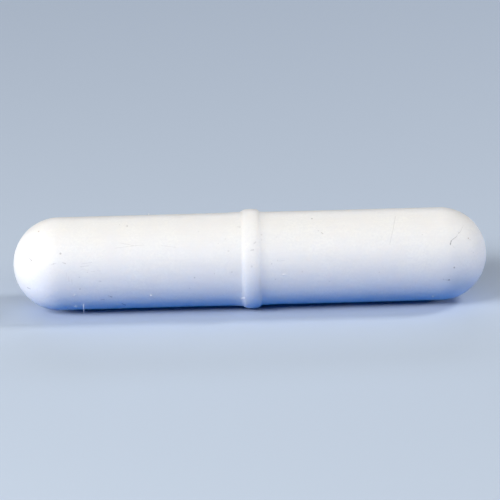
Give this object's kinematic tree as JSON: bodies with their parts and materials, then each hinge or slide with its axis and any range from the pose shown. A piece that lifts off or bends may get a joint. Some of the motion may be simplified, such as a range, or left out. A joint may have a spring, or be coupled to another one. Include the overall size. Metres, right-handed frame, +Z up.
{
  "type": "magnetic stir bar",
  "caption": "Straight magnetic stir bar with full-round ends and a moulded pivot ring round its middle. Its rod magnet is sealed in a seamless white jacket. It stirs liquids on a drive plate.",
  "frame": {"origin": "lowest point of the pivot ring, at the middle of the bar's length and width: the point that it spins on", "axes": "+X along the bar, towards the end at the right; +Z up, away from what the bar lies on; +Y to the back"},
  "size_m": [0.0406, 0.0086, 0.0086],
  "materials": {
    "jacket": "white moulded fluoropolymer, waxy satin, faintly see-through at the surface, with small dark specks and fine scratches",
    "magnet": "bare cast magnet alloy, dull grey, with its round side ground"
  },
  "bodies": {
    "root": {"ptfe_jacket": "jacket", "bar_magnet": "magnet"}
  },
  "joints": []
}
